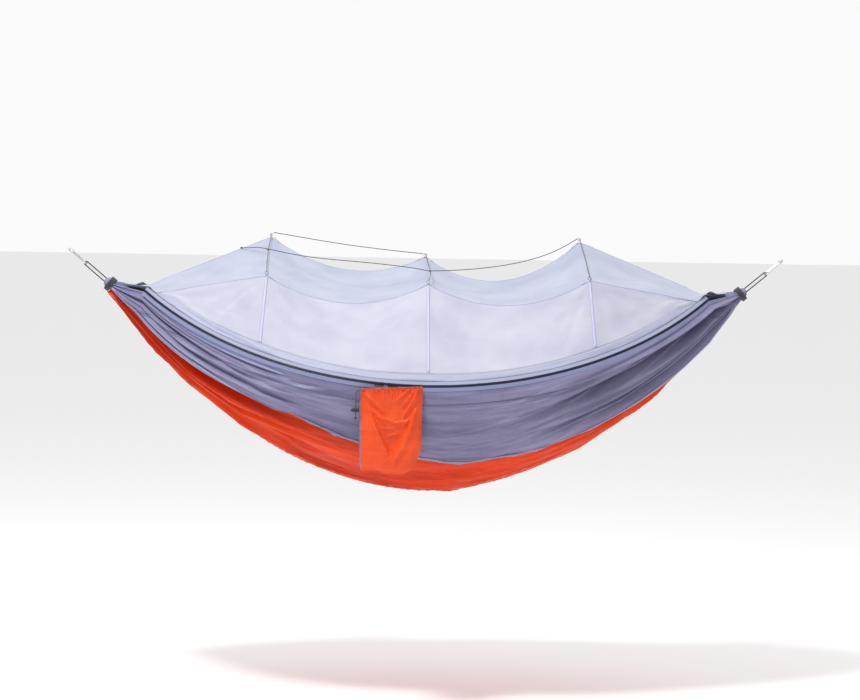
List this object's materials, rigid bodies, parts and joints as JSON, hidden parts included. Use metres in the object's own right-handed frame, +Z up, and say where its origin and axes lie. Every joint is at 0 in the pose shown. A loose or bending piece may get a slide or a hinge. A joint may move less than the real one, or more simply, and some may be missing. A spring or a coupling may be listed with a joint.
{
  "type": "camping hammock",
  "caption": "Camping hammock of parachute nylon with a zipped mosquito net, gathered ends on cord loops with carabiners, and a hanging stuff pocket.",
  "frame": {"origin": "the bearing point of the left carabiner, inside its outer bow, as the hammock hangs", "axes": "+X along the hammock to the right carabiner, +Y from the zipped side to the far side, +Z up"},
  "size_m": [2.3577, 0.937, 0.8301],
  "materials": {
    "orange_nylon": "ripstop weave, satin",
    "grey_nylon": "ripstop weave, satin",
    "seam_nylon": "felled seam",
    "mosquito_net": "fine polyester mesh",
    "net_tape": "woven binding tape",
    "zip_tape": "woven zip tape",
    "zip_coil": "moulded nylon coil",
    "black_metal": "black painted zinc",
    "net_loop": "narrow woven tape",
    "thin_cord": "braided polyester",
    "suspension_cord": "braided nylon",
    "carabiner_steel": "zinc plated, bright",
    "spring_steel": "drawn wire",
    "lock_plastic": "moulded"
  },
  "bodies": {
    "hammock": {"bed_centre_panel": "orange_nylon", "bed_front_panel": "grey_nylon", "bed_rear_panel": "grey_nylon", "bed_front_seam": "seam_nylon", "bed_rear_seam": "seam_nylon", "front_rim_hem": "grey_nylon", "rear_rim_hem": "grey_nylon", "zip_lower_tape": "zip_tape", "zip_upper_tape": "zip_tape", "zip_lower_coil": "zip_coil", "zip_upper_coil": "zip_coil", "zip_end_stops": "black_metal", "net_hem_strip": "grey_nylon", "net_front_wall": "mosquito_net", "net_roof": "mosquito_net", "net_rear_wall": "mosquito_net", "front_seam_tapes": "net_tape", "rear_seam_tapes": "net_tape", "front_roof_piping": "net_tape", "rear_roof_piping": "net_tape", "net_corner_loops": "net_loop", "station_cord_left": "thin_cord", "station_cord_middle": "thin_cord", "station_cord_right": "thin_cord", "top_cord_rear": "thin_cord", "top_cord_left": "thin_cord", "top_cord_right": "thin_cord", "top_cord_knots": "thin_cord", "gather_wrap_left": "suspension_cord", "gather_wrap_right": "suspension_cord", "suspension_loop_left": "suspension_cord", "suspension_loop_right": "suspension_cord"},
    "carabiner_left": {"carabiner_body_left": "carabiner_steel", "gate_pin_left": "carabiner_steel"},
    "carabiner_right": {"carabiner_body_right": "carabiner_steel", "gate_pin_right": "carabiner_steel"},
    "gate_left": {"carabiner_gate_left": "carabiner_steel", "gate_spring_left": "spring_steel"},
    "gate_right": {"carabiner_gate_right": "carabiner_steel", "gate_spring_right": "spring_steel"},
    "slider_left": {"zip_slider_left": "black_metal"},
    "slider_right": {"zip_slider_right": "black_metal"},
    "pull_left": {"zip_pull_left": "black_metal"},
    "pull_right": {"zip_pull_right": "black_metal"},
    "pocket": {"pocket_front_panel": "orange_nylon", "pocket_back_panel": "grey_nylon", "pocket_mouth_hem": "orange_nylon", "pocket_drawstring": "thin_cord", "drawstring_knot": "thin_cord"},
    "cord_lock": {"cord_lock_body": "lock_plastic", "cord_lock_spring": "spring_steel"},
    "lock_button": {"cord_lock_button": "lock_plastic"}
  },
  "joints": [
    {"name": "carabiner_left_swing", "type": "hinge", "parent": "hammock", "child": "carabiner_left", "pos_m": [0.05209, 0, -0.04371], "axis": [0, -1, 0], "range_deg": [-40, 130]},
    {"name": "gate_left_open", "type": "hinge", "parent": "carabiner_left", "child": "gate_left", "pos_m": [0.036, 0.016, -0.03021], "axis": [0.6428, 0, 0.766], "range_deg": [0, 35], "stiffness_Nm_per_rad": 0.02, "springref_deg": -17.19},
    {"name": "carabiner_right_swing", "type": "hinge", "parent": "hammock", "child": "carabiner_right", "pos_m": [2.29143, 0, -0.04371], "axis": [0, 1, 0], "range_deg": [-40, 130]},
    {"name": "gate_right_open", "type": "hinge", "parent": "carabiner_right", "child": "gate_right", "pos_m": [2.30751, 0.016, -0.03021], "axis": [0.6428, 0, -0.766], "range_deg": [0, 35], "stiffness_Nm_per_rad": 0.02, "springref_deg": -17.19},
    {"name": "zip_left_slide", "type": "hinge", "parent": "hammock", "child": "slider_left", "pos_m": [1.17176, 0.46925, 0.37079], "axis": [0, -0.6428, 0.766], "range_deg": [-42, 0]},
    {"name": "zip_right_slide", "type": "hinge", "parent": "hammock", "child": "slider_right", "pos_m": [1.17176, 0.46925, 0.37079], "axis": [0, -0.6428, 0.766], "range_deg": [0, 54.8]},
    {"name": "pull_left_flip", "type": "hinge", "parent": "slider_left", "child": "pull_left", "pos_m": [1.02507, -0.44793, -0.39479], "axis": [0.0783, -0.0037, 0.9969], "range_deg": [0, 110]},
    {"name": "pull_right_flip", "type": "hinge", "parent": "slider_right", "child": "pull_right", "pos_m": [1.05012, -0.45008, -0.3966], "axis": [-0.065, 0.0025, -0.9979], "range_deg": [0, 110]},
    {"name": "pocket_swing", "type": "hinge", "parent": "hammock", "child": "pocket", "pos_m": [1.05676, -0.4586, -0.41456], "axis": [-1, 0, 0], "range_deg": [-8, 25]},
    {"name": "cord_lock_slide", "type": "slide", "parent": "pocket", "child": "cord_lock", "axis": [0, 0, 1], "range_m": [-0.012, 0.03]},
    {"name": "lock_button_press", "type": "slide", "parent": "cord_lock", "child": "lock_button", "axis": [1, 0, 0], "range_m": [0, 0.0025], "stiffness_N_per_m": 400, "springref_m": -0.002}
  ]
}
